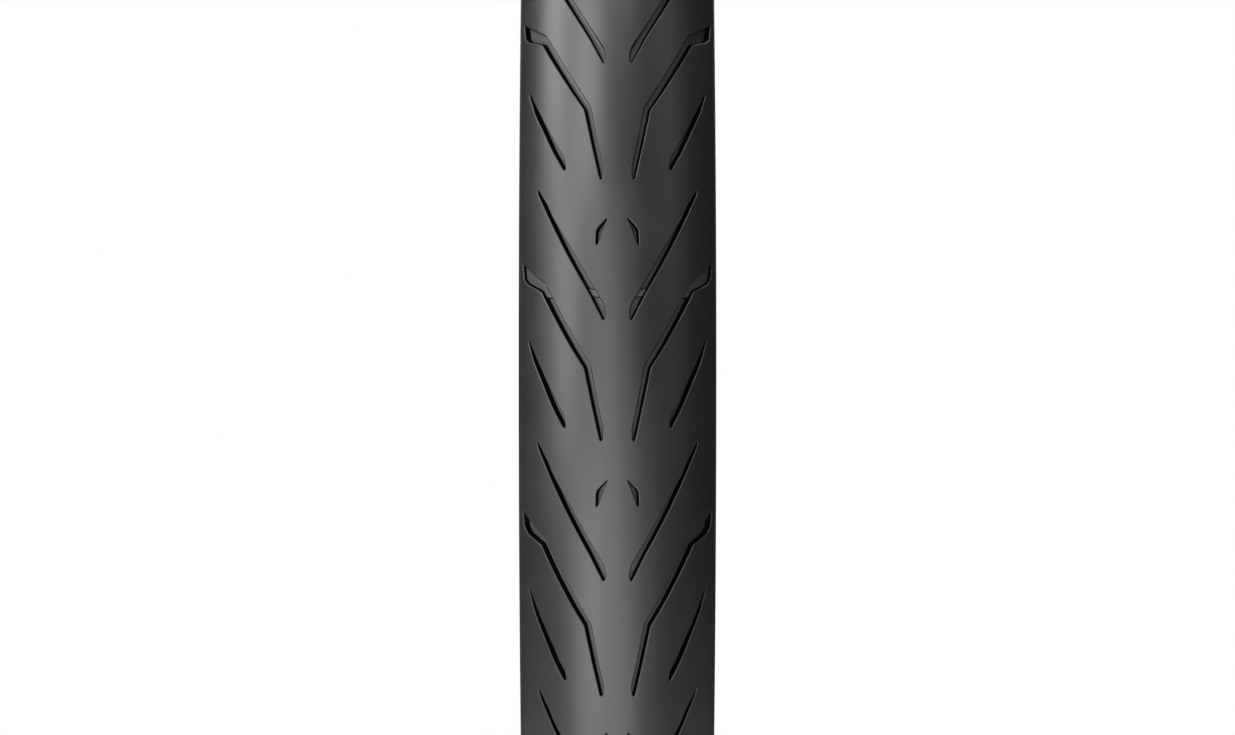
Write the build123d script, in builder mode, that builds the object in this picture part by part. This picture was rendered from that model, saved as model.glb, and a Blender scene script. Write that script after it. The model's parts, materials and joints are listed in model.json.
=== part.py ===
from build123d import *

import os
from math import acos, atan2, cos, degrees, hypot, pi, radians, sin, sqrt, tan

# A slender directional road tire in size 50-622, bare and off its rim. The wheel turns about +Y and its
# centre is the origin. Every layer is a ring: an inner liner, two casing plies turned up round the wire
# beads, two breakers, then the chafers, sidewalls, cushions and tread. Each layer's section is drawn for the
# +Y half only, as (distance from the middle plane, radius from the axle), in millimetres.

# Outer shape
OUTER_RADIUS = 359.5
HALF_WIDTH = 25.0
CROWN_RADIUS = 27.5
CROWN_ANGLE = 55.0
TREAD_EDGE_ANGLE = 72.0
SIDE_END_ANGLE = 125.0
RIM_LINE_RADIUS = 0.4
RIM_LINE_DISTANCE = 9.0

# Tread pattern
PITCHES = 35
PITCHES_PER_WEAR_BAR = 7
GROOVE_DEPTH = 1.5
WEAR_BAR_DEPTH = 0.8

# Layers under the tread
CAP_THICKNESS = 2.6
BASE_THICKNESS = 0.7
BASE_ANGLE = 49.0
BREAKER_THICKNESS = 0.45
BREAKER_OUTER_ANGLE = 44.0
BREAKER_INNER_ANGLE = 47.0
PLY_THICKNESS = 0.45
LINER_THICKNESS = 0.7
SIDEWALL_THICKNESS = 1.2
CASING_CROWN_ANGLE = 48.0
CASING_SIDE_ANGLE = 105.0
CASING_FAIRING = 0.36

# Beads
BEAD_SEAT_RADIUS = 311.0
BEAD_CENTRE = (9.1, 314.9)
BEAD_BUNDLE_RADIUS = 1.9
BEAD_WRAP_RADIUS = 2.2
WIRE_RADIUS = 0.55
WIRE_SPACING = 1.24
WIRES_ROUND_MIDDLE = 6
FILLER_HEIGHT = 11.0
FILLER_FACETS = 8
OUTER_TURN_UP = 7.0
INNER_TURN_UP = 4.6
FLANGE_HALF_WIDTH = 14.0
HEEL_RADIUS = 1.0
TOE_CHAMFER = 1.2
CHAFER_TOP_RADIUS = 317.6

# Groove outlines, as (distance from the middle plane, distance along the tread)
GROOVES = {
    "long": [(19.8, 45.4), (12.5, 28.2), (3.6, 11.6), (2.9, 12.6), (3.4, 15.8), (16.1, 38.2)],
    "wing": [
        (23.6, 26.8), (23.2, 22.3), (18.8, 19.0), (8.3, -0.1),
        (4.2, -18.2), (3.4, -15.4), (6.5, 0.3), (17.8, 21.2),
    ],
    "shoulder": [(22.0, 6.4), (20.9, 1.5), (13.2, -15.1), (13.1, -12.2), (18.5, -1.3)],
    "crown": [(2.5, 36.9), (5.1, 34.0), (5.3, 30.2), (3.9, 32.9)],
}
# The stretch along the tread where a wear bar raises a groove's floor
WEAR_BARS = {"long": (17.5, 19.2), "wing": (17.6, 27.5)}

os.makedirs("parts", exist_ok=True)

CASING_DEPTH = CAP_THICKNESS + BASE_THICKNESS + 2 * BREAKER_THICKNESS
CASING_THICKNESS = 2 * PLY_THICKNESS

# The crown and side arcs of the section touch at the crown angle
CROWN_CENTRE = (0.0, OUTER_RADIUS - CROWN_RADIUS)
crown_sin, crown_cos = sin(radians(CROWN_ANGLE)), cos(radians(CROWN_ANGLE))
SIDE_RADIUS = (HALF_WIDTH - CROWN_RADIUS * crown_sin) / (1 - crown_sin)
SIDE_CENTRE = (
    (CROWN_RADIUS - SIDE_RADIUS) * crown_sin,
    CROWN_CENTRE[1] + (CROWN_RADIUS - SIDE_RADIUS) * crown_cos,
)
CROWN_EDGE = CROWN_RADIUS * crown_sin
CASING_SIDE_RADIUS = SIDE_RADIUS - SIDEWALL_THICKNESS

# The casing leaves the side arc and meets the bead on one straight line that touches both
across, down = (BEAD_CENTRE[0] - SIDE_CENTRE[0], BEAD_CENTRE[1] - SIDE_CENTRE[1])
wrap_turn = acos((CASING_SIDE_RADIUS + BEAD_WRAP_RADIUS) / hypot(across, down))
WALL_ANGLE = atan2(down, across) + wrap_turn
wall_normal = (cos(WALL_ANGLE), sin(WALL_ANGLE))
CASING_END_ANGLE = degrees(atan2(*wall_normal))

# The filler stands on the bead, with its inner face on the casing and its outer face under the turn-ups
BEAD_TOUCH = (
    BEAD_CENTRE[0] - BEAD_WRAP_RADIUS * wall_normal[0],
    BEAD_CENTRE[1] - BEAD_WRAP_RADIUS * wall_normal[1],
)
FILLER_TIP = (
    BEAD_TOUCH[0] - FILLER_HEIGHT * wall_normal[1],
    BEAD_TOUCH[1] + FILLER_HEIGHT * wall_normal[0],
)
tip_across, tip_up = (FILLER_TIP[0] - BEAD_CENTRE[0], FILLER_TIP[1] - BEAD_CENTRE[1])
LEG_ANGLE = atan2(tip_up, tip_across) - acos(BEAD_WRAP_RADIUS / hypot(tip_across, tip_up))
LEG_DIRECTION = (-sin(LEG_ANGLE), cos(LEG_ANGLE))

# Both halves' section planes: on each, x runs out from the middle plane and y runs out from the axle
SIDES = {
    "left": Plane.YZ,
    "right": Plane(origin=(0, 0, 0), x_dir=(0, -1, 0), z_dir=(-1, 0, 0)),
}


def on_arc(centre, radius, angle):
    """A section arc's point at an angle from straight up, in degrees."""
    return (
        centre[0] + radius * sin(radians(angle)),
        centre[1] + radius * cos(radians(angle)),
    )


def on_crown(depth, angle=0.0):
    """The point at a depth under the crown arc."""
    return on_arc(CROWN_CENTRE, CROWN_RADIUS - depth, angle)


def on_side(depth, angle):
    """The point at a depth under the side arc."""
    return on_arc(SIDE_CENTRE, SIDE_RADIUS - depth, angle)


def round_bead(radius, angle):
    """The point on a circle about the bead's centre, at an angle from +x in radians."""
    return (
        BEAD_CENTRE[0] + radius * cos(angle),
        BEAD_CENTRE[1] + radius * sin(angle),
    )


def turn_up_top(depth, height):
    """The point on a turn-up at a height above the bead, at a depth outside the filler."""
    foot = round_bead(BEAD_WRAP_RADIUS + depth, LEG_ANGLE)
    return (foot[0] + LEG_DIRECTION[0] * height, foot[1] + LEG_DIRECTION[1] * height)


def draw_arc(centre, radius, start, end):
    """Draws a section arc between two angles from straight up, in degrees."""
    middle = on_arc(centre, radius, (start + end) / 2)
    ThreePointArc(on_arc(centre, radius, start), middle, on_arc(centre, radius, end))


def draw_bead_arc(radius, start, end):
    """Draws an arc about the bead's centre between two angles from +x, in radians."""
    middle = round_bead(radius, (start + end) / 2)
    ThreePointArc(round_bead(radius, start), middle, round_bead(radius, end))


def draw_tread_line(depth, side_angle):
    """Draws the line at a depth under the tread, from the middle plane to an angle on the side arc."""
    draw_arc(CROWN_CENTRE, CROWN_RADIUS - depth, 0, CROWN_ANGLE)
    draw_arc(SIDE_CENTRE, SIDE_RADIUS - depth, CROWN_ANGLE, side_angle)


def draw_casing_line(depth):
    """Draws the line at a depth inside the casing, from the middle plane to where it meets the bead."""
    crown = CROWN_RADIUS - CASING_DEPTH - depth
    side = CASING_SIDE_RADIUS - depth
    start = on_arc(CROWN_CENTRE, crown, CASING_CROWN_ANGLE)
    end = on_arc(SIDE_CENTRE, side, CASING_SIDE_ANGLE)
    reach = CASING_FAIRING * hypot(end[0] - start[0], end[1] - start[1])
    start_angle, end_angle = radians(CASING_CROWN_ANGLE), radians(CASING_SIDE_ANGLE)
    after_start = (start[0] + reach * cos(start_angle), start[1] - reach * sin(start_angle))
    before_end = (end[0] - reach * cos(end_angle), end[1] + reach * sin(end_angle))
    draw_arc(CROWN_CENTRE, crown, 0, CASING_CROWN_ANGLE)
    Bezier(start, after_start, before_end, end)
    draw_arc(SIDE_CENTRE, side, CASING_SIDE_ANGLE, CASING_END_ANGLE)
    foot = round_bead(BEAD_WRAP_RADIUS + depth, WALL_ANGLE + pi)
    Line(on_arc(SIDE_CENTRE, side, CASING_END_ANGLE), foot)


def draw_ply_line(depth, turn_up):
    """Draws the casing line, carried on round the bead and up its outer side."""
    draw_casing_line(depth)
    draw_bead_arc(BEAD_WRAP_RADIUS + depth, WALL_ANGLE + pi, LEG_ANGLE + 2 * pi)
    Line(turn_up_top(depth, 0), turn_up_top(depth, turn_up))


def tread_layer(top, bottom, side_angle):
    """The half section between two depths under the tread, out to an angle on the side arc."""
    with BuildSketch() as layer:
        with BuildLine():
            draw_tread_line(top, side_angle)
            draw_tread_line(bottom, side_angle)
            Line(on_crown(top), on_crown(bottom))
            Line(on_side(top, side_angle), on_side(bottom, side_angle))
        make_face()
    return layer.sketch


def crown_layer(top, thickness, angle):
    """The half section of a layer that ends on the crown arc."""
    bottom = top + thickness
    with BuildSketch() as layer:
        with BuildLine():
            draw_arc(CROWN_CENTRE, CROWN_RADIUS - top, 0, angle)
            draw_arc(CROWN_CENTRE, CROWN_RADIUS - bottom, 0, angle)
            Line(on_crown(top), on_crown(bottom))
            Line(on_crown(top, angle), on_crown(bottom, angle))
        make_face()
    return layer.sketch


def under_tread(depth):
    """Everything deeper than a depth under the tread, back to the centres of the arcs."""
    with BuildSketch() as region:
        with BuildLine():
            draw_tread_line(depth, TREAD_EDGE_ANGLE)
            Polyline(on_side(depth, TREAD_EDGE_ANGLE), SIDE_CENTRE, CROWN_CENTRE, on_crown(depth))
        make_face()
    return region.sketch


def inside_casing():
    """Everything inside the casing's outer face, down to the line through the bead's centre."""
    rise = BEAD_CENTRE[0] / wall_normal[0] * wall_normal[1]
    with BuildSketch() as region:
        with BuildLine():
            draw_casing_line(0)
            Polyline(BEAD_TOUCH, (0, BEAD_CENTRE[1] - rise), on_crown(CASING_DEPTH))
        make_face()
    return region.sketch


def inside_outline():
    """Everything inside the tire's outer face, down to the top of the chafer."""
    end = on_side(0, SIDE_END_ANGLE)
    drop = (end[0] - FLANGE_HALF_WIDTH) * -tan(radians(SIDE_END_ANGLE))
    corner = (FLANGE_HALF_WIDTH, end[1] - drop)
    flange_top = (FLANGE_HALF_WIDTH, CHAFER_TOP_RADIUS)
    with BuildSketch() as region:
        with BuildLine():
            draw_tread_line(0, SIDE_END_ANGLE)
            Polyline(end, corner, flange_top, (0, CHAFER_TOP_RADIUS), on_crown(0))
        make_face()
    return region.sketch


def casing_layer(depth, thickness):
    """The half section of a layer that follows the casing and stops at the bead."""
    bottom = depth + thickness
    with BuildSketch() as layer:
        with BuildLine():
            draw_casing_line(depth)
            draw_casing_line(bottom)
            Line(on_crown(CASING_DEPTH + depth), on_crown(CASING_DEPTH + bottom))
            Line(
                round_bead(BEAD_WRAP_RADIUS + depth, WALL_ANGLE + pi),
                round_bead(BEAD_WRAP_RADIUS + bottom, WALL_ANGLE + pi),
            )
        make_face()
    return layer.sketch


def ply_layer(depth, turn_up):
    """The half section of a casing ply, with its turn-up."""
    bottom = depth + PLY_THICKNESS
    with BuildSketch() as layer:
        with BuildLine():
            draw_ply_line(depth, turn_up)
            draw_ply_line(bottom, turn_up)
            Line(on_crown(CASING_DEPTH + depth), on_crown(CASING_DEPTH + bottom))
            Line(turn_up_top(depth, turn_up), turn_up_top(bottom, turn_up))
        make_face()
    return layer.sketch


def filler_section():
    """The wedge of rubber on the bead, whose foot has flat facets that touch the round wrap."""
    step = (WALL_ANGLE + pi - LEG_ANGLE) / FILLER_FACETS
    foot = [
        round_bead(BEAD_WRAP_RADIUS / cos(step / 2), LEG_ANGLE + (i + 0.5) * step)
        for i in range(FILLER_FACETS)
    ]
    with BuildSketch() as filler:
        with BuildLine():
            Polyline(*foot, FILLER_TIP, close=True)
        make_face()
    return filler.sketch


def chafer_section():
    """The hard strip from the liner's edge, round the toe, along the seat and up the flange face."""
    inner = BEAD_WRAP_RADIUS + CASING_THICKNESS
    outer = inner + LINER_THICKNESS
    toe = BEAD_CENTRE[0] - outer
    heel = (FLANGE_HALF_WIDTH - HEEL_RADIUS, BEAD_SEAT_RADIUS + HEEL_RADIUS)
    rise = (CHAFER_TOP_RADIUS - turn_up_top(CASING_THICKNESS, 0)[1]) / LEG_DIRECTION[1]
    with BuildSketch() as chafer:
        with BuildLine():
            Line(round_bead(inner, WALL_ANGLE + pi), round_bead(outer, WALL_ANGLE + pi))
            draw_bead_arc(outer, WALL_ANGLE + pi, pi)
            Polyline(
                round_bead(outer, pi),
                (toe, BEAD_SEAT_RADIUS + TOE_CHAMFER),
                (toe + TOE_CHAMFER, BEAD_SEAT_RADIUS),
                (heel[0], BEAD_SEAT_RADIUS),
            )
            draw_arc(heel, HEEL_RADIUS, 180, 90)
            Polyline(
                (FLANGE_HALF_WIDTH, heel[1]),
                (FLANGE_HALF_WIDTH, CHAFER_TOP_RADIUS),
                turn_up_top(CASING_THICKNESS, rise),
                turn_up_top(CASING_THICKNESS, 0),
            )
            draw_bead_arc(inner, WALL_ANGLE + pi, LEG_ANGLE + 2 * pi)
        make_face()
    return chafer.sketch


def sidewall_section():
    """The rubber outside the casing, from the tread's edge to the chafer, with its raised rim line."""
    end = on_side(0, SIDE_END_ANGLE)
    rim_line = (
        end[0] + RIM_LINE_DISTANCE * cos(radians(SIDE_END_ANGLE)),
        end[1] - RIM_LINE_DISTANCE * sin(radians(SIDE_END_ANGLE)),
    )
    with BuildSketch() as sidewall:
        add(inside_outline())
        with Locations(rim_line):
            Circle(RIM_LINE_RADIUS)
        add(under_tread(0), mode=Mode.SUBTRACT)
        add(inside_casing(), mode=Mode.SUBTRACT)
        add(filler_section(), mode=Mode.SUBTRACT)
        add(ply_layer(0, OUTER_TURN_UP), mode=Mode.SUBTRACT)
        add(ply_layer(PLY_THICKNESS, INNER_TURN_UP), mode=Mode.SUBTRACT)
    # The biggest face left is the wall. The others lie in the air cavity.
    return sidewall.sketch.faces().sort_by(SortBy.AREA)[-1]


def cushion_section():
    """The rubber that fills the shoulder beside the breakers' edges."""
    with BuildSketch() as cushion:
        add(under_tread(CAP_THICKNESS))
        add(inside_casing(), mode=Mode.SUBTRACT)
        add(base_layer, mode=Mode.SUBTRACT)
        add(breaker_outer_layer, mode=Mode.SUBTRACT)
        add(breaker_inner_layer, mode=Mode.SUBTRACT)
    return cushion.sketch.faces().sort_by(SortBy.AREA)[-1]


def surface_radius(axial):
    """The tread's radius from the axle at a distance from the middle plane."""
    if axial < CROWN_EDGE:
        return CROWN_CENTRE[1] + sqrt(CROWN_RADIUS**2 - axial**2)
    return SIDE_CENTRE[1] + sqrt(SIDE_RADIUS**2 - (axial - SIDE_CENTRE[0]) ** 2)


def groove_prism(outline, middle, stretch=None):
    """A prism that runs straight out along +X through a groove's outline, or through a stretch of it."""
    points = [
        (axial, surface_radius(axial) * sin((along - middle) / OUTER_RADIUS))
        for axial, along in outline
    ]
    with BuildPart() as prism:
        with BuildSketch(Plane.YZ.offset(SIDE_CENTRE[1])):
            with BuildLine():
                Polyline(*points, close=True)
            make_face()
            if stretch:
                with Locations((HALF_WIDTH / 2, sum(stretch) / 2 - middle)):
                    Rectangle(HALF_WIDTH, stretch[1] - stretch[0], mode=Mode.INTERSECT)
        extrude(amount=CROWN_RADIUS)
    return prism.part


def tread_core(depth):
    """A ring that fills everything deeper than a depth under the tread."""
    edge = on_side(depth, TREAD_EDGE_ANGLE)
    with BuildPart() as core:
        with BuildSketch(Plane.YZ):
            with BuildLine():
                draw_tread_line(depth, TREAD_EDGE_ANGLE)
                Polyline(edge, (edge[0], BEAD_SEAT_RADIUS), (0, BEAD_SEAT_RADIUS), on_crown(depth))
            make_face()
        revolve(axis=Axis.Y)
    return core.part


def groove_cutter(name, with_wear_bar):
    """One groove's cutter on the +Y side, turned to its place along the tread."""
    outline = GROOVES[name]
    along = [point[1] for point in outline]
    middle = (min(along) + max(along)) / 2
    with BuildPart() as cutter:
        add(groove_prism(outline, middle))
        add(grooved_core, mode=Mode.SUBTRACT)
        if with_wear_bar and name in WEAR_BARS:
            bar = groove_prism(outline, middle, WEAR_BARS[name]) & barred_core
            add(bar, mode=Mode.SUBTRACT)
    return cutter.part.rotate(Axis.Y, -degrees(middle / OUTER_RADIUS))


def tread_grooves():
    """The cutters of every groove, on both sides and all the way round."""
    plain = [groove_cutter(name, False) for name in GROOVES]
    barred = [groove_cutter(name, True) for name in GROOVES]
    grooves = []
    for pitch in range(PITCHES):
        for cutter in plain if pitch % PITCHES_PER_WEAR_BAR else barred:
            placed = cutter.rotate(Axis.Y, -360 * pitch / PITCHES)
            grooves += [*placed.solids(), *placed.mirror(Plane.XZ).solids()]
    return grooves


def write(piece, name):
    """Labels a finished piece and writes its STEP file."""
    piece.part.label = name
    export_step(piece.part, f"parts/{name}.step")


def write_ring(name, section):
    """Makes a piece that spans both halves of the tire by turning its section about the axle."""
    with BuildPart() as ring:
        with BuildSketch(Plane.YZ):
            add(section)
            mirror(about=Plane.YZ)
        revolve(axis=Axis.Y)
    write(ring, name)


def write_side_rings(name, section):
    """Makes a left and a right piece by turning the same section about the axle on each half."""
    for side, plane in SIDES.items():
        with BuildPart() as ring:
            with BuildSketch(plane):
                add(section)
            revolve(axis=Axis.Y)
        write(ring, f"{name}_{side}")


# Tread cap, with the grooves cut into it
grooved_core = tread_core(GROOVE_DEPTH)
barred_core = tread_core(WEAR_BAR_DEPTH)
cap_layer = tread_layer(0, CAP_THICKNESS, TREAD_EDGE_ANGLE)
with BuildPart() as tread_cap:
    with BuildSketch(Plane.YZ):
        add(cap_layer)
        mirror(about=Plane.YZ)
    revolve(axis=Axis.Y)
    add(tread_grooves(), mode=Mode.SUBTRACT)
write(tread_cap, "tread_cap")

# Tread base and breakers
breaker_depth = CAP_THICKNESS + BASE_THICKNESS
base_layer = crown_layer(CAP_THICKNESS, BASE_THICKNESS, BASE_ANGLE)
breaker_outer_layer = crown_layer(breaker_depth, BREAKER_THICKNESS, BREAKER_OUTER_ANGLE)
breaker_inner_layer = crown_layer(
    breaker_depth + BREAKER_THICKNESS, BREAKER_THICKNESS, BREAKER_INNER_ANGLE
)
write_ring("tread_base", base_layer)
write_ring("breaker_outer", breaker_outer_layer)
write_ring("breaker_inner", breaker_inner_layer)

# Casing plies and inner liner
write_ring("casing_ply_outer", ply_layer(0, OUTER_TURN_UP))
write_ring("casing_ply_inner", ply_layer(PLY_THICKNESS, INNER_TURN_UP))
write_ring("inner_liner", casing_layer(CASING_THICKNESS, LINER_THICKNESS))

# Outer rubber of each side
write_side_rings("shoulder_cushion", cushion_section())
write_side_rings("sidewall", sidewall_section())
write_side_rings("chafer", chafer_section())

# Beads
with BuildSketch() as wires:
    with Locations(BEAD_CENTRE):
        Circle(WIRE_RADIUS)
        with PolarLocations(WIRE_SPACING, WIRES_ROUND_MIDDLE):
            Circle(WIRE_RADIUS)
with BuildSketch() as insulation:
    with Locations(BEAD_CENTRE):
        Circle(BEAD_BUNDLE_RADIUS)
    add(wires.sketch, mode=Mode.SUBTRACT)
with BuildSketch() as wrap:
    with Locations(BEAD_CENTRE):
        Circle(BEAD_WRAP_RADIUS)
        Circle(BEAD_BUNDLE_RADIUS, mode=Mode.SUBTRACT)
write_side_rings("bead_wires", wires.sketch)
write_side_rings("bead_insulation", insulation.sketch)
write_side_rings("bead_wrap", wrap.sketch)
write_side_rings("bead_filler", filler_section())
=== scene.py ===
import json
from math import acos, asin, atan2, cos, hypot, inf, pi, radians, sin

import bmesh
import bpy
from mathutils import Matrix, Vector
from mathutils.geometry import delaunay_2d_cdt


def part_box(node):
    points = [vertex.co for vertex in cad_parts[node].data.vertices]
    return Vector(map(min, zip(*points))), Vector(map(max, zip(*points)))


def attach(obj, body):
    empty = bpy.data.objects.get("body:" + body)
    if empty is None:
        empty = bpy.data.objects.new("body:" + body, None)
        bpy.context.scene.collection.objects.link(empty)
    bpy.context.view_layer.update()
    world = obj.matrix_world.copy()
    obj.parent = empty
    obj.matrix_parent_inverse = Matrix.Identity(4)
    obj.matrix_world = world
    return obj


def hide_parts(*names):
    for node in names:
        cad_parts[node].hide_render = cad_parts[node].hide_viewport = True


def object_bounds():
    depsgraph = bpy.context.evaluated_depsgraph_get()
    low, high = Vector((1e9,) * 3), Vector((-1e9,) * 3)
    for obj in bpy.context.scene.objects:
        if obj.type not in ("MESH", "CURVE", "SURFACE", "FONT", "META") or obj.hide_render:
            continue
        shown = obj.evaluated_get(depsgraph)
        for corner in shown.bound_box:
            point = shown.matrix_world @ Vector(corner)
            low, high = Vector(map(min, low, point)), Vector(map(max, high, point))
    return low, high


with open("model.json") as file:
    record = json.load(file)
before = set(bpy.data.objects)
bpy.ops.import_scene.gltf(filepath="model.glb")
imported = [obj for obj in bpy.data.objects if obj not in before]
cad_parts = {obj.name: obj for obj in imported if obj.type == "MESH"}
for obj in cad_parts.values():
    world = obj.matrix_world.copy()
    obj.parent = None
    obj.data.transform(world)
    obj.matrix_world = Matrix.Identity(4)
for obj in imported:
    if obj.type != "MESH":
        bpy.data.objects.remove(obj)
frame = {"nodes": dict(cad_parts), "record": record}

# The visual model of a slender directional road tire, bare and off its rim. It turns about +Y, its reference
# pitch faces +X, and +Z is up. Section shapes are worked out in millimetres as (distance from the middle
# plane, radius from the axle), and the tread pattern as (arc across the tread, arc along the tread).

cad_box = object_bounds()
MM = 0.001

# Section, as in the CAD frame
OUTER_RADIUS = round(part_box("tread_cap")[1][2] / MM, 1)
HALF_WIDTH = round(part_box("sidewall_left")[1][1] / MM, 1)
CROWN_RADIUS = 27.5
CROWN_ANGLE = radians(55)
TREAD_EDGE_ANGLE = radians(72)
SIDE_END_ANGLE = radians(125)
CAP_THICKNESS = 2.6
CASING_DEPTH = 4.2
CASING_THICKNESS = 0.9
LINER_THICKNESS = 0.7
SIDEWALL_THICKNESS = 1.2
CASING_CROWN_ANGLE = radians(48)
CASING_SIDE_ANGLE = radians(105)
CASING_FAIRING = 0.36
BEAD_SEAT_RADIUS = 311.0
BEAD_CENTRE = (9.1, 314.9)
BEAD_WRAP_RADIUS = 2.2
FILLER_HEIGHT = 11.0
OUTER_TURN_UP = 7.0
FLANGE_HALF_WIDTH = 14.0
HEEL_RADIUS = 1.0
TOE_CHAMFER = 1.2
CHAFER_TOP_RADIUS = 317.6
# The raised lines on the straight lower wall, as (distance down it, half width, height): two ribs, a rim line
WALL_LINES = [(2.2, 0.3, 0.22), (3.6, 0.3, 0.22), (9.0, 0.4, 0.4)]
# How far the sidewall's inner points stay above the filler's tip, and past the tread's edge (in radians)
TIP_CLEARANCE = 0.2
TREAD_EDGE_CLEARANCE = 0.01

# Steps along the curves of a section, and round the axle
CASING_STEPS = 20
WALL_STEPS = 8
SIDE_STEPS = 44
WALL_LINE_STEPS = 8
TOE_STEPS = 6
HEEL_STEPS = 6
WRAP_STEPS = 16
TURN_STEPS = 420

CROWN_CENTRE = (0.0, OUTER_RADIUS - CROWN_RADIUS)
SIDE_RADIUS = (HALF_WIDTH - CROWN_RADIUS * sin(CROWN_ANGLE)) / (1 - sin(CROWN_ANGLE))
SIDE_CENTRE = (
    (CROWN_RADIUS - SIDE_RADIUS) * sin(CROWN_ANGLE),
    CROWN_CENTRE[1] + (CROWN_RADIUS - SIDE_RADIUS) * cos(CROWN_ANGLE),
)
CASING_SIDE_RADIUS = SIDE_RADIUS - SIDEWALL_THICKNESS
CROWN_ARC = CROWN_RADIUS * CROWN_ANGLE
TREAD_ARC = CROWN_ARC + SIDE_RADIUS * (TREAD_EDGE_ANGLE - CROWN_ANGLE)

# The straight wall from the side arc to the bead, and the turn-up that leans on the bead filler
bead_across, bead_up = BEAD_CENTRE[0] - SIDE_CENTRE[0], BEAD_CENTRE[1] - SIDE_CENTRE[1]
WALL_ANGLE = atan2(bead_up, bead_across) + acos(
    (CASING_SIDE_RADIUS + BEAD_WRAP_RADIUS) / hypot(bead_across, bead_up)
)
WALL_NORMAL = (cos(WALL_ANGLE), sin(WALL_ANGLE))
FILLER_TIP = (
    BEAD_CENTRE[0] - BEAD_WRAP_RADIUS * WALL_NORMAL[0] - FILLER_HEIGHT * WALL_NORMAL[1],
    BEAD_CENTRE[1] - BEAD_WRAP_RADIUS * WALL_NORMAL[1] + FILLER_HEIGHT * WALL_NORMAL[0],
)
tip_across, tip_up = FILLER_TIP[0] - BEAD_CENTRE[0], FILLER_TIP[1] - BEAD_CENTRE[1]
LEG_ANGLE = atan2(tip_up, tip_across) - acos(BEAD_WRAP_RADIUS / hypot(tip_across, tip_up))

# Tread pattern
PITCHES = 35
PITCHES_PER_WEAR_BAR = 7
PITCH = 2 * pi * OUTER_RADIUS / PITCHES
PITCH_START = -18.67
ROWS = 20
COLUMN_SPACING = 1.1
UNDERSIDE_COLUMNS = 20
GROOVE_DEPTH = 1.5
WEAR_BAR_DEPTH = 0.8
GRID_CLEARANCE = 0.5
OUTLINE_SPACING = 1.2
CORNER_REACH = 0.4
CORNER_SHARE = 0.45
CORNER_STEPS = 3
CORNER_STRETCH = 1.3

# Groove outlines, as (distance from the middle plane, distance along the tread)
GROOVES = {
    "long": [
        (20.1, 45.4), (19.75, 44.0), (12.5, 28.2), (7.0, 18.3), (3.6, 11.6), (3.05, 11.8),
        (2.9, 13.5), (3.4, 15.8), (6.3, 20.6), (11.5, 29.8), (15.9, 37.5), (17.4, 41.1), (19.75, 45.5),
    ],
    "wing": [
        (23.85, 27.3), (23.45, 22.9), (22.5, 21.4), (19.0, 19.2), (17.95, 17.0), (11.0, 4.2),
        (8.25, -0.1), (6.15, -10.0), (4.35, -17.9), (4.0, -18.2), (3.6, -17.7), (3.5, -15.05),
        (5.0, -8.2), (6.4, -0.3), (6.7, 0.75), (8.9, 4.4), (10.25, 6.7), (15.95, 17.35),
        (17.2, 19.9), (18.0, 21.4), (20.0, 23.1), (22.5, 25.6),
    ],
    "shoulder": [
        (22.35, 7.0), (20.9, 1.45), (18.65, -4.0), (16.1, -10.0), (13.5, -14.9), (12.9, -15.2),
        (12.8, -14.2), (13.25, -11.75), (16.3, -6.0), (18.5, -1.3), (21.95, 7.0),
    ],
    "crown": [
        (2.6, 36.9), (4.85, 34.5), (5.25, 33.7), (5.35, 30.4), (5.15, 30.1), (4.7, 30.6),
        (4.1, 32.4), (3.2, 34.95), (2.4, 36.6),
    ],
}
# The stretch along the tread where a wear bar raises a groove's floor, and the run of the slope at its ends.
# The wing's bar has no upper end, because it runs on to the groove's shoulder end
WEAR_BARS = {"long": (17.5, 19.2, 0.22), "wing": (17.6, inf, 0.4)}
LEVEL_TOLERANCE = 1e-4
# A floor triangle that rises by more than this is part of a bar's slope, which takes the walls' near-black
# painted shade
SLOPE_HEIGHT = 0.1
# Where an outline's outward direction is this one, as (away from the middle plane, along the tread), it is on
# the groove's shoulder side, and where it is the opposite one, on the crown side. The two blend in between.
# A stretch counts as the crown side where the shoulder shares of its two ends add up to less than the limit
SHOULDER_DIRECTION = (0.8, -0.6)
SIDE_BLEND = 1.6
CROWN_SIDE_LIMIT = 0.8
# How far the floor's rim is inside the outline on each side, and the most it or an edge takes of the width
OUTER_WALL_INSET = 0.4
INNER_WALL_INSET = 0.24
WALL_SHARE = 0.3
EDGE_SHARE = 0.25
# The floor's painted shade at the shoulder side, where 1 is its full colour; it darkens the floor where the
# wall's shade falls
FLOOR_DARKEST = 0.4
# How a groove's edge goes down from the surface, as (distance outside its outline, depth): rounded beside
# the shoulder-side wall, and a narrow bevel beside the crown-side wall
OUTER_EDGE = [(0.28, 0.0), (0.2, 0.0), (0.11, 0.02), (0.04, 0.07), (0.0, 0.18)]
INNER_EDGE = [(0.14, 0.0), (0.06, 0.0), (0.04, 0.01), (0.02, 0.02), (-0.15, 0.16)]

MERGE_DISTANCE = 2e-6
CREASE_ANGLE = radians(38)

# Rubber. Where the broad noise runs through NOISE_RANGE, the colour runs through COLOUR_RANGE
TREAD_COLOUR = (0.012, 0.012, 0.012)
TREAD_ROUGHNESS = 0.36
# The groove floor's colour is the tread's rubber made lighter: painted light for the light that the groove
# walls keep off the floor
GROOVE_FLOOR_PAINTED_LIGHT_COLOUR = (0.035, 0.035, 0.035)
# The colour that a groove floor's painted shade darkens towards
FLOOR_PAINTED_SHADE_COLOUR = (0.002, 0.002, 0.002, 1)
BROAD_SCALE = 55.0
NOISE_RANGE = (0.3, 0.7)
COLOUR_RANGE = (0.88, 1.1)

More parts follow.
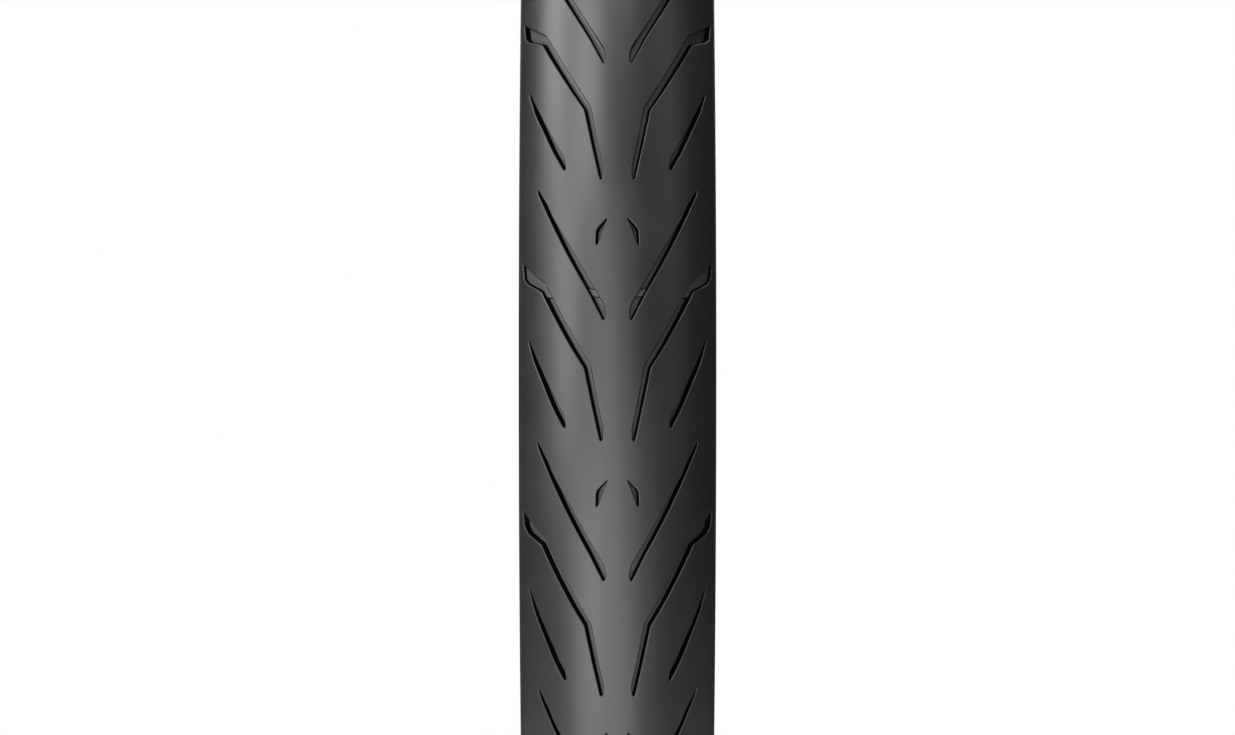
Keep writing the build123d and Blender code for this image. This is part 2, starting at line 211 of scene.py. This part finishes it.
# Stage. The floor starts to fade at FLOOR_FADE from its middle
FLOOR_RADIUS = 0.95
FLOOR_FADE = 0.2
FLOOR_STEPS = 96
LIGHT_DISTANCE = 1.5
CAMERA_DISTANCE = 0.9576
FOCAL_LENGTH = 71.2


# ---------------------------------------------------------------- section

def on_arc(centre, radius, angle):
    """A section arc's point at an angle from straight up."""
    return centre[0] + radius * sin(angle), centre[1] + radius * cos(angle)


def round_bead(radius, angle):
    """The point on a circle about the bead's centre, at an angle from the outward direction."""
    return BEAD_CENTRE[0] + radius * cos(angle), BEAD_CENTRE[1] + radius * sin(angle)


def arc_points(centre, radius, start, end, steps):
    """Points along a section arc, both ends included."""
    return [on_arc(centre, radius, start + (end - start) * i / steps) for i in range(steps + 1)]


def bead_points(radius, start, end, steps):
    """Points along an arc about the bead's centre, both ends included."""
    return [round_bead(radius, start + (end - start) * i / steps) for i in range(steps + 1)]


def turn_up_point(depth, height):
    """The point on a turn-up at a height above the bead, at a depth outside the filler."""
    foot = round_bead(BEAD_WRAP_RADIUS + depth, LEG_ANGLE)
    return foot[0] - height * sin(LEG_ANGLE), foot[1] + height * cos(LEG_ANGLE)


def tread_point(arc, depth):
    """The section point at a signed arc length from the middle plane, at a depth."""
    reach = abs(arc)
    if reach <= CROWN_ARC:
        y, r = on_arc(CROWN_CENTRE, CROWN_RADIUS - depth, reach / CROWN_RADIUS)
    else:
        angle = CROWN_ANGLE + (reach - CROWN_ARC) / SIDE_RADIUS
        y, r = on_arc(SIDE_CENTRE, SIDE_RADIUS - depth, angle)
    return (y if arc >= 0 else -y), r


def arc_at(distance):
    """The arc length across the tread at a distance from the middle plane."""
    if distance < CROWN_RADIUS * sin(CROWN_ANGLE):
        return CROWN_RADIUS * asin(distance / CROWN_RADIUS)
    angle = asin((distance - SIDE_CENTRE[0]) / SIDE_RADIUS)
    return CROWN_ARC + SIDE_RADIUS * (angle - CROWN_ANGLE)


def casing_points(depth):
    """Points along the casing's line at a depth, from the middle plane to the bead."""
    crown = CROWN_RADIUS - CASING_DEPTH - depth
    side = CASING_SIDE_RADIUS - depth
    start = Vector(on_arc(CROWN_CENTRE, crown, CASING_CROWN_ANGLE))
    end = Vector(on_arc(SIDE_CENTRE, side, CASING_SIDE_ANGLE))
    reach = CASING_FAIRING * (end - start).length
    after = start + reach * Vector((cos(CASING_CROWN_ANGLE), -sin(CASING_CROWN_ANGLE)))
    before = end - reach * Vector((cos(CASING_SIDE_ANGLE), -sin(CASING_SIDE_ANGLE)))
    points = arc_points(CROWN_CENTRE, crown, 0, CASING_CROWN_ANGLE, CASING_STEPS)
    for i in range(1, CASING_STEPS):
        t = i / CASING_STEPS
        curve = start * (1 - t) ** 3 + after * 3 * t * (1 - t) ** 2
        curve += before * 3 * t * t * (1 - t) + end * t**3
        points.append(tuple(curve))
    wall_angle = atan2(*WALL_NORMAL)
    points += arc_points(SIDE_CENTRE, side, CASING_SIDE_ANGLE, wall_angle, WALL_STEPS)
    foot = round_bead(BEAD_WRAP_RADIUS + depth, WALL_ANGLE + pi)
    last = points[-1]
    for i in range(1, WALL_STEPS + 1):
        y = last[0] + (foot[0] - last[0]) * i / WALL_STEPS
        r = last[1] + (foot[1] - last[1]) * i / WALL_STEPS
        points.append((y, r))
    return points


# ---------------------------------------------------------------- meshes

def finish_mesh(name, node, verts, faces, materials, material_index=None, shade=None):
    """Makes the object, turns its faces outwards, shades it, hangs it under the root body and hides the CAD
    node it replaces.
    """
    mesh = bpy.data.meshes.new(name)
    mesh.from_pydata([tuple(c * MM for c in v) for v in verts], [], faces)
    for material in materials:
        mesh.materials.append(material)
    if material_index:
        mesh.polygons.foreach_set("material_index", material_index)
    # The groove floors' painted shade, one value for each point
    if shade:
        layer = mesh.attributes.new("groove_painted_shade", "FLOAT", "POINT")
        layer.data.foreach_set("value", shade)
    work = bmesh.new()
    work.from_mesh(mesh)
    bmesh.ops.remove_doubles(work, verts=work.verts, dist=MERGE_DISTANCE)
    bmesh.ops.recalc_face_normals(work, faces=work.faces)
    work.to_mesh(mesh)
    work.free()
    mesh.shade_smooth()
    mesh.set_sharp_from_angle(angle=CREASE_ANGLE)
    piece = bpy.data.objects.new(name, mesh)
    bpy.context.collection.objects.link(piece)
    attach(piece, "root")
    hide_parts(node)
    return piece


def turned(name, node, loop, material):
    """A ring turned about the axle from a closed section loop."""
    verts, faces = [], []
    count = len(loop)
    for i in range(TURN_STEPS):
        angle = 2 * pi * i / TURN_STEPS
        verts += [(r * cos(angle), y, r * sin(angle)) for y, r in loop]
        here, there = i * count, (i + 1) % TURN_STEPS * count
        for j in range(count):
            k = (j + 1) % count
            faces.append((here + j, here + k, there + k, there + j))
    return finish_mesh(name, node, verts, faces, [material])


def soft_corners(points):
    """Rounds each corner of a closed outline with a short curve."""
    rounded = []
    for i, point in enumerate(points):
        corner = Vector(point)
        before = Vector(points[i - 1]) - corner
        after = Vector(points[(i + 1) % len(points)]) - corner
        start = corner + before * min(CORNER_REACH / before.length, CORNER_SHARE)
        end = corner + after * min(CORNER_REACH / after.length, CORNER_SHARE)
        for step in range(CORNER_STEPS + 1):
            t = step / CORNER_STEPS
            rounded.append(start * (1 - t) ** 2 + corner * 2 * t * (1 - t) + end * t * t)
    return rounded


def spaced(points, levels):
    """Adds points so that a closed outline has no long gaps, and has points at each level along the tread."""
    out = []
    for i, here in enumerate(points):
        there = points[(i + 1) % len(points)]
        cuts = [0.0]
        for level in levels:
            low, high = sorted((here.y, there.y))
            if low < level < high:
                cuts.append((level - here.y) / (there.y - here.y))
        cuts = sorted(cuts) + [1.0]
        for a, b in zip(cuts, cuts[1:]):
            steps = max(1, round((there - here).length * (b - a) / OUTLINE_SPACING))
            out += [here.lerp(there, a + (b - a) * k / steps) for k in range(steps)]
    return out


def signed_area(points):
    """Twice the signed area of a closed outline."""
    return sum(points[i - 1].cross(points[i]) for i in range(len(points)))


def inside(point, outline):
    """Whether a point lies inside a closed outline."""
    within = False
    for i, b in enumerate(outline):
        a = outline[i - 1]
        if (a.y > point.y) != (b.y > point.y):
            if point.x < a.x + (point.y - a.y) / (b.y - a.y) * (b.x - a.x):
                within = not within
    return within


def outward_normals(points):
    """The outward direction at each point of an anticlockwise outline, longer at corners."""
    normals = []
    for i, here in enumerate(points):
        before = (here - points[i - 1]).normalized()
        after = (points[(i + 1) % len(points)] - here).normalized()
        along = (before + after).normalized()
        stretch = min(CORNER_STRETCH, 1 / max(0.5, along.dot(after)))
        normals.append(Vector((along.y, -along.x)) * stretch)
    return normals


def width_across(points, normals):
    """How far each point of an outline is from the other side of its groove."""
    widths = []
    for i, here in enumerate(points):
        towards = -normals[i].normalized()
        nearest = inf
        for j, b in enumerate(points):
            a = points[j - 1]
            if i in (j, (j - 1) % len(points)):
                continue
            side = b - a
            turn = towards.cross(side)
            if abs(turn) < 1e-9:
                continue
            reach = (a - here).cross(side) / turn
            share = (a - here).cross(towards) / turn
            if reach > 1e-6 and 0 <= share <= 1:
                nearest = min(nearest, reach)
        widths.append(nearest)
    return widths


class Pitch:
    """One repeat of the tread, as points (arc across, arc along, depth), with faces and their materials."""

    def __init__(self):
        self.points, self.shades, self.faces, self.kinds = [], [], [], []

    def add_points(self, points, depths, shades):
        first = len(self.points)
        self.points += [(p.x, p.y, d) for p, d in zip(points, depths)]
        self.shades += shades
        return list(range(first, len(self.points)))

    def add_faces(self, faces, kind):
        self.faces += faces
        self.kinds += [kind] * len(faces)

    def strip(self, upper, lower, kind):
        """Quads between two closed loops."""
        for j in range(len(upper)):
            self.add_faces([(upper[j - 1], upper[j], lower[j], lower[j - 1])], kind)


# WALL faces take the near-black groove-wall material, which paints shade into the grooves
SURFACE, WALL, FLOOR = 0, 1, 2


def add_groove(pitch, name, sign, barred):
    """Adds one groove's rounded edge, walls and floor, and returns the loop that bounds it on the surface."""
    levels = []
    if name in WEAR_BARS:
        low, high, slope = WEAR_BARS[name]
        levels = [low - slope, low, high, high + slope]
    outline = [(sign * arc_at(y), along) for y, along in GROOVES[name]]
    outline = spaced(soft_corners(outline), levels)
    if signed_area(outline) < 0:
        outline.reverse()
    normals = outward_normals(outline)
    widths = width_across(outline, normals)
    shoulder = Vector((SHOULDER_DIRECTION[0] * sign, SHOULDER_DIRECTION[1]))
    outers = []
    for normal in normals:
        facing = normal.normalized().dot(shoulder)
        outers.append(min(1.0, max(0.0, 0.5 + SIDE_BLEND * facing)))
    loops = []
    for (outer_out, outer_down), (inner_out, inner_down) in zip(OUTER_EDGE, INNER_EDGE):
        points, depths = [], []
        for point, normal, width, outer in zip(outline, normals, widths, outers):
            distance = inner_out + (outer_out - inner_out) * outer
            points.append(point + normal * max(distance, -EDGE_SHARE * width))
            depths.append(inner_down + (outer_down - inner_down) * outer)
        loops.append(pitch.add_points(points, depths, [1.0] * len(points)))
    bottom, depths, shades = [], [], []
    for point, normal, width, outer in zip(outline, normals, widths, outers):
        inset = INNER_WALL_INSET + (OUTER_WALL_INSET - INNER_WALL_INSET) * outer
        bottom.append(point - normal * min(inset, WALL_SHARE * width))
        depth = GROOVE_DEPTH
        if barred and name in WEAR_BARS:
            low, high, _ = WEAR_BARS[name]
            if low - LEVEL_TOLERANCE < point.y < high + LEVEL_TOLERANCE:
                depth = WEAR_BAR_DEPTH
        depths.append(depth)
        # Painted shade on the floor, darkest beside the shoulder-side wall
        shades.append(1.0 + (FLOOR_DARKEST - 1.0) * outer)
    floor = pitch.add_points(bottom, depths, shades)
    for upper, lower in zip(loops[:-1], loops[1:-1]):
        pitch.strip(upper, lower, SURFACE)
    for j, outer in enumerate(outers):
        # A crown-side bevel takes the wall's painted shade, which draws a thin dark line along the edge
        kind = WALL if outer + outers[j - 1] < CROWN_SIDE_LIMIT else SURFACE
        pitch.add_faces([(loops[-2][j - 1], loops[-2][j], loops[-1][j], loops[-1][j - 1])], kind)
    pitch.strip(loops[-1], floor, WALL)
    count = len(bottom)
    edges = [(i, (i + 1) % count) for i in range(count)]
    if barred:
        for level in levels:
            pair = [i for i, p in enumerate(outline) if abs(p.y - level) < LEVEL_TOLERANCE]
            if len(pair) == 2:
                edges.append(tuple(pair))
    found, _, triangles, origins, _, _ = delaunay_2d_cdt(bottom, edges, [], 1, 1e-6)
    index = []
    for k, origin in enumerate(origins):
        if origin:
            index.append(floor[origin[0]])
        else:
            near = min(range(count), key=lambda i: (bottom[i] - found[k]).length)
            index.append(pitch.add_points([found[k]], [depths[near]], [shades[near]])[0])
    for triangle in triangles:
        middle = sum((found[k] for k in triangle), Vector((0, 0))) / 3
        if inside(middle, bottom):
            face = tuple(index[k] for k in triangle)
            heights = [pitch.points[k][2] for k in face]
            sloped = max(heights) - min(heights) > SLOPE_HEIGHT
            # A bar's slope takes the wall's painted shade, a thin dark line across the floor
            pitch.add_faces([face], WALL if sloped else FLOOR)
    return loops[0]


def tread_pitch(barred):
    """One repeat of the tread: its surface, grooves, edges and underside."""
    pitch = Pitch()
    rims = [add_groove(pitch, name, sign, barred) for name in GROOVES for sign in (1, -1)]
    outlines = [[Vector(pitch.points[i][:2]) for i in rim] for rim in rims]
    columns = round(2 * TREAD_ARC / COLUMN_SPACING)
    across = [TREAD_ARC * (2 * i / columns - 1) for i in range(columns + 1)]
    along = [PITCH_START + PITCH * j / ROWS for j in range(ROWS + 1)]

    # The surface, with a hole for each groove
    flat, edges, keys = [], [], []
    for rim, outline in zip(rims, outlines):
        first = len(flat)
        flat += outline
        keys += rim
        edges += [(first + i, first + (i + 1) % len(rim)) for i in range(len(rim))]
    for i, a in enumerate(across):
        for j, s in enumerate(along):
            point = Vector((a, s))
            on_border = i in (0, columns) or j in (0, ROWS)
            near = any(
                (point - q).length < GRID_CLEARANCE for outline in outlines for q in outline
            )
            if on_border or not (near or any(inside(point, outline) for outline in outlines)):
                keys.append(pitch.add_points([point], [0.0], [1.0])[0])
                flat.append(point)
    found, _, triangles, origins, _, _ = delaunay_2d_cdt(flat, edges, [], 0, 1e-6)
    kept = []
    for triangle in triangles:
        middle = sum((found[k] for k in triangle), Vector((0, 0))) / 3
        if not any(inside(middle, outline) for outline in outlines):
            kept.append(tuple(keys[origins[k][0]] for k in triangle))
    pitch.add_faces(kept, SURFACE)

    # The underside and the two edges
    under = [TREAD_ARC * (2 * i / UNDERSIDE_COLUMNS - 1) for i in range(UNDERSIDE_COLUMNS + 1)]
    rows = []
    for s in along:
        ring = [(-TREAD_ARC, 0.0)] + [(a, CAP_THICKNESS) for a in under] + [(TREAD_ARC, 0.0)]
        points = [Vector((a, s)) for a, _ in ring]
        rows.append(pitch.add_points(points, [d for _, d in ring], [1.0] * len(ring)))
    for low, high in zip(rows, rows[1:]):
        quads = [(low[k], low[k + 1], high[k + 1], high[k]) for k in range(len(low) - 1)]
        pitch.add_faces(quads, SURFACE)
    return pitch


def make_tread(materials):
    """The grooved tread: its repeats all the way round, some with wear bars in the grooves."""
    plain, barred = tread_pitch(False), tread_pitch(True)
    verts, faces, kinds, shades = [], [], [], []
    for number in range(PITCHES):
        pitch = plain if number % PITCHES_PER_WEAR_BAR else barred
        first = len(verts)
        for arc, s, depth in pitch.points:
            y, r = tread_point(arc, depth)
            angle = (s + PITCH * number) / OUTER_RADIUS
            verts.append((r * cos(angle), y, r * sin(angle)))
        faces += [tuple(first + k for k in face) for face in pitch.faces]
        kinds += pitch.kinds
        shades += pitch.shades
    return finish_mesh("tread_pattern", "tread_cap", verts, faces, materials, kinds, shades)


def mirrored(loop, sign):
    """The loop on the +Y side, or its mirror image."""
    return loop if sign > 0 else [(-y, r) for y, r in reversed(loop)]


def sidewall_loop():
    """The sidewall's section, with its fine ribs and rim line."""
    outer = arc_points(SIDE_CENTRE, SIDE_RADIUS, TREAD_EDGE_ANGLE, SIDE_END_ANGLE, SIDE_STEPS)
    end = outer[-1]
    run = Vector((cos(SIDE_END_ANGLE), -sin(SIDE_END_ANGLE)))
    out = Vector((sin(SIDE_END_ANGLE), cos(SIDE_END_ANGLE)))
    length = (end[0] - FLANGE_HALF_WIDTH) / -run.x
    outer += [tuple(Vector(end) + run * d + out * h) for d, h in wall_ribs(length)]
    chafer_rise = (CHAFER_TOP_RADIUS - turn_up_point(CASING_THICKNESS, 0)[1]) / cos(LEG_ANGLE)
    outer += [
        (FLANGE_HALF_WIDTH, CHAFER_TOP_RADIUS),
        turn_up_point(CASING_THICKNESS, chafer_rise),
        turn_up_point(0, OUTER_TURN_UP),
        FILLER_TIP,
    ]
    inner = []
    for y, r in reversed(casing_points(0)):
        angle = atan2(y - SIDE_CENTRE[0], r - SIDE_CENTRE[1])
        if r > FILLER_TIP[1] + TIP_CLEARANCE and angle > TREAD_EDGE_ANGLE + TREAD_EDGE_CLEARANCE:
            inner.append((y, r))
    return outer + inner


def wall_ribs(length):
    """The straight lower wall as (distance down it, height off it): two fine ribs and a round rim line."""
    profile = []
    for centre, half, height in WALL_LINES:
        for k in range(WALL_LINE_STEPS + 1):
            t = k / WALL_LINE_STEPS * 2 - 1
            profile.append((centre + t * half, height * (1 - t * t) ** 0.5))
    return profile + [(length, 0.0)]


def chafer_loop():
    """The chafer's section, from the liner's edge round the toe and seat to the flange face."""
    inner = BEAD_WRAP_RADIUS + CASING_THICKNESS
    outer = inner + LINER_THICKNESS
    toe = BEAD_CENTRE[0] - outer
    heel = (FLANGE_HALF_WIDTH - HEEL_RADIUS, BEAD_SEAT_RADIUS + HEEL_RADIUS)
    rise = (CHAFER_TOP_RADIUS - turn_up_point(CASING_THICKNESS, 0)[1]) / cos(LEG_ANGLE)
    loop = bead_points(outer, WALL_ANGLE + pi, pi, TOE_STEPS)
    loop += [(toe, BEAD_SEAT_RADIUS + TOE_CHAMFER), (toe + TOE_CHAMFER, BEAD_SEAT_RADIUS)]
    loop += arc_points(heel, HEEL_RADIUS, pi, pi / 2, HEEL_STEPS)
    loop += [(FLANGE_HALF_WIDTH, CHAFER_TOP_RADIUS), turn_up_point(CASING_THICKNESS, rise)]
    loop += bead_points(inner, LEG_ANGLE + 2 * pi, WALL_ANGLE + pi, WRAP_STEPS)
    return loop


def liner_loop():
    """The inner liner's section, across both halves."""
    top = casing_points(CASING_THICKNESS)
    bottom = casing_points(CASING_THICKNESS + LINER_THICKNESS)
    upper = [(-y, r) for y, r in reversed(top)] + top[1:]
    lower = [(-y, r) for y, r in reversed(bottom)] + bottom[1:]
    return upper + lower[::-1]


# ---------------------------------------------------------------- materials

def add_node(tree, kind, **inputs):
    """Adds a node and sets its inputs by name, with underscores for spaces."""
    node = tree.nodes.new(kind)
    for name, value in inputs.items():
        node.inputs[name.replace("_", " ")].default_value = value
    return node


def procedural(
    name, colour, roughness, grain=1800.0, relief=0.03, variation=0.06, metallic=0.0, specular=0.5
):
    """A material with fine grain in its surface and soft changes in its colour and roughness."""
    material = bpy.data.materials.new(name)
    material.use_nodes = True
    tree = material.node_tree
    shader = tree.nodes["Principled BSDF"]
    shader.inputs["Metallic"].default_value = metallic
    shader.inputs["Specular IOR Level"].default_value = specular
    place = tree.nodes.new("ShaderNodeTexCoord")
    fine = add_node(tree, "ShaderNodeTexNoise", Scale=grain, Detail=3.0, Roughness=0.6)
    broad = add_node(tree, "ShaderNodeTexNoise", Scale=BROAD_SCALE, Detail=4.0, Roughness=0.55)
    tree.links.new(place.outputs["Object"], fine.inputs["Vector"])
    tree.links.new(place.outputs["Object"], broad.inputs["Vector"])
    bump = add_node(tree, "ShaderNodeBump", Strength=relief, Distance=0.0001)
    tree.links.new(fine.outputs["Fac"], bump.inputs["Height"])
    tree.links.new(bump.outputs["Normal"], shader.inputs["Normal"])
    rough = add_node(
        tree, "ShaderNodeMapRange", From_Min=NOISE_RANGE[0], From_Max=NOISE_RANGE[1],
        To_Min=roughness - variation, To_Max=roughness + variation,
    )
    tree.links.new(broad.outputs["Fac"], rough.inputs["Value"])
    tree.links.new(rough.outputs["Result"], shader.inputs["Roughness"])
    ramp = tree.nodes.new("ShaderNodeValToRGB")
    for stop, position, factor in zip(ramp.color_ramp.elements, NOISE_RANGE, COLOUR_RANGE):
        stop.position = position
        stop.color = [c * factor for c in colour] + [1]
    tree.links.new(broad.outputs["Fac"], ramp.inputs["Fac"])
    tree.links.new(ramp.outputs["Color"], shader.inputs["Base Color"])
    return material


def floor_rubber():
    """Groove-floor rubber with painted light and painted shade: lighter than the tread's rubber all over, and
    darker and duller towards the shoulder-side wall, where the wall's shade falls.
    """
    material = procedural("groove_floor_rubber", GROOVE_FLOOR_PAINTED_LIGHT_COLOUR, TREAD_ROUGHNESS, variation=0.02)
    tree = material.node_tree
    shader = tree.nodes["Principled BSDF"]
    ramp = shader.inputs["Base Color"].links[0].from_node
    shade = tree.nodes.new("ShaderNodeAttribute")
    shade.attribute_name = "groove_painted_shade"
    mix = tree.nodes.new("ShaderNodeMix")
    mix.data_type = "RGBA"
    mix.inputs[6].default_value = FLOOR_PAINTED_SHADE_COLOUR
    tree.links.new(shade.outputs["Fac"], mix.inputs[0])
    tree.links.new(ramp.outputs["Color"], mix.inputs[7])
    tree.links.new(mix.outputs[2], shader.inputs["Base Color"])
    rough = add_node(tree, "ShaderNodeMapRange", To_Min=1.0, To_Max=TREAD_ROUGHNESS)
    tree.links.new(shade.outputs["Fac"], rough.inputs["Value"])
    tree.links.new(rough.outputs["Result"], shader.inputs["Roughness"])
    return material


tread_rubber = procedural("tread_rubber", TREAD_COLOUR, TREAD_ROUGHNESS, variation=0.02)
# Near-black groove walls: painted shade standing in for the shade deep in the grooves
wall_painted_shade = procedural("groove_wall_rubber", (0.001, 0.001, 0.001), 0.9, specular=0.02)
side_rubber = procedural("sidewall_rubber", (0.014, 0.014, 0.014), 0.42, variation=0.03)
slot_materials = {
    "tread_rubber": tread_rubber,
    "sidewall_rubber": side_rubber,
    "chafer_rubber": procedural("chafer_rubber", (0.02, 0.02, 0.021), 0.55, grain=900.0),
    "liner_rubber": procedural("liner_rubber", (0.03, 0.03, 0.03), 0.62, grain=700.0, relief=0.5),
    "base_rubber": procedural("base_rubber", (0.05, 0.048, 0.045), 0.7),
    "bead_rubber": procedural("bead_rubber", (0.02, 0.02, 0.02), 0.65),
    "breaker_cord": procedural("breaker_cord", (0.32, 0.25, 0.12), 0.75, grain=1200.0, relief=0.8),
    "ply_cord": procedural("ply_cord", (0.22, 0.19, 0.15), 0.75, grain=1500.0, relief=0.8),
    "wrap_fabric": procedural("wrap_fabric", (0.16, 0.14, 0.12), 0.8, grain=1500.0, relief=0.8),
    "bead_steel": procedural("bead_steel", (0.6, 0.5, 0.36), 0.3, metallic=1.0),
}
for row in frame["record"]["subparts"]:
    node = frame["nodes"][row["node"]]
    node.data.materials.clear()
    node.data.materials.append(slot_materials[row["material_slot"]])

# ---------------------------------------------------------------- pieces

make_tread([tread_rubber, wall_painted_shade, floor_rubber()])
turned("liner_skin", "inner_liner", liner_loop(), slot_materials["liner_rubber"])
for side, sign in (("left", 1), ("right", -1)):
    wall = mirrored(sidewall_loop(), sign)
    turned(f"sidewall_skin_{side}", f"sidewall_{side}", wall, side_rubber)
    bead = mirrored(chafer_loop(), sign)
    turned(f"chafer_skin_{side}", f"chafer_{side}", bead, slot_materials["chafer_rubber"])

# ---------------------------------------------------------------- floor, light and camera

def fading_paint():
    """White paint that fades to nothing away from the floor's middle."""
    material = bpy.data.materials.new("floor_paint")
    material.use_nodes = True
    tree = material.node_tree
    shader = tree.nodes["Principled BSDF"]
    shader.inputs["Base Color"].default_value = (0.8, 0.8, 0.8, 1)
    shader.inputs["Roughness"].default_value = 0.9
    shader.inputs["Specular IOR Level"].default_value = 0.1
    place = tree.nodes.new("ShaderNodeTexCoord")
    reach = tree.nodes.new("ShaderNodeVectorMath")
    reach.operation = "LENGTH"
    tree.links.new(place.outputs["Object"], reach.inputs[0])
    fade = add_node(
        tree, "ShaderNodeMapRange", From_Min=FLOOR_FADE, From_Max=FLOOR_RADIUS, To_Min=1.0, To_Max=0.0
    )
    fade.interpolation_type = "SMOOTHSTEP"
    tree.links.new(reach.outputs["Value"], fade.inputs["Value"])
    tree.links.new(fade.outputs["Result"], shader.inputs["Alpha"])
    return material


def make_floor():
    """A round floor under the tire."""
    mesh = bpy.data.meshes.new("floor")
    ring = []
    for i in range(FLOOR_STEPS):
        angle = 2 * pi * i / FLOOR_STEPS
        ring.append((FLOOR_RADIUS * cos(angle), FLOOR_RADIUS * sin(angle), 0))
    mesh.from_pydata(ring, [], [tuple(range(FLOOR_STEPS))])
    mesh.materials.append(fading_paint())
    floor = bpy.data.objects.new("floor", mesh)
    floor.location.z = cad_box[0][2]
    bpy.context.collection.objects.link(floor)


def make_world():
    """A world that is white to the camera and gives off only a dim, cool light."""
    world = bpy.data.worlds.new("studio")
    bpy.context.scene.world = world
    world.use_nodes = True
    tree = world.node_tree
    tree.nodes.clear()
    out = tree.nodes.new("ShaderNodeOutputWorld")
    dim = add_node(tree, "ShaderNodeBackground", Color=(0.9, 0.95, 1.0, 1), Strength=0.03)
    white = add_node(tree, "ShaderNodeBackground", Color=(1, 1, 1, 1))
    mix = tree.nodes.new("ShaderNodeMixShader")
    rays = tree.nodes.new("ShaderNodeLightPath")
    tree.links.new(rays.outputs["Is Camera Ray"], mix.inputs[0])
    tree.links.new(dim.outputs[0], mix.inputs[1])
    tree.links.new(white.outputs[0], mix.inputs[2])
    tree.links.new(mix.outputs[0], out.inputs["Surface"])


def softbox(name, azimuth, elevation, power, size=0.7, target=(0.36, 0, 0)):
    """A square light round a target. Azimuth 0 is the camera's side, and positive is towards +Y."""
    data = bpy.data.lights.new(name, "AREA")
    data.size, data.energy = size, power
    lamp = bpy.data.objects.new(name, data)
    bpy.context.collection.objects.link(lamp)
    a, e = radians(azimuth), radians(elevation)
    direction = Vector((cos(e) * cos(a), cos(e) * sin(a), sin(e)))
    lamp.location = Vector(target) + direction * LIGHT_DISTANCE
    lamp.rotation_euler = direction.to_track_quat("Z", "Y").to_euler()


make_floor()
make_world()
# The front lights, mostly from the tire's right, so the tread's highlight leans that way
softbox("side_high", -78, 32, 13)
softbox("side_level", -78, 5, 2)
softbox("key_high", -36, 32, 12.5)
softbox("key_level", -56, 5, 9)
softbox("key_low", -36, -22, 7)
softbox("key_bottom", -36, -50, 10)
softbox("front_level", -16, 5, 4.5)
softbox("front_low", -16, -22, 4.5)
softbox("centre_top", 4, 60, 12)
softbox("centre_level", 4, 5, 2)
softbox("centre_low", 4, -22, 4)
softbox("centre_bottom", 4, -50, 8.5)
softbox("left_low", 30, -22, 1.6)
softbox("left_level", 60, 5, 0.6)
softbox("left_high", 60, 32, 1.4)
# The back lights, high up, so that they don't glance off the edges of the front
softbox("back_right", -140, 62, 16, size=1.2, target=(0, 0, 0))
softbox("back_left", 140, 62, 16, size=1.2, target=(0, 0, 0))
softbox("back_middle", 180, 30, 9, size=1.2, target=(0, 0, 0))

lens = bpy.data.cameras.new("camera")
lens.lens = FOCAL_LENGTH
lens.sensor_width = 36.0
lens.clip_start = 0.01
camera = bpy.data.objects.new("camera", lens)
bpy.context.collection.objects.link(camera)
camera.location = (CAMERA_DISTANCE, 0, 0)
camera.rotation_euler = (pi / 2, 0, pi / 2)
bpy.context.scene.camera = camera
bpy.context.scene.view_settings.view_transform = "Standard"
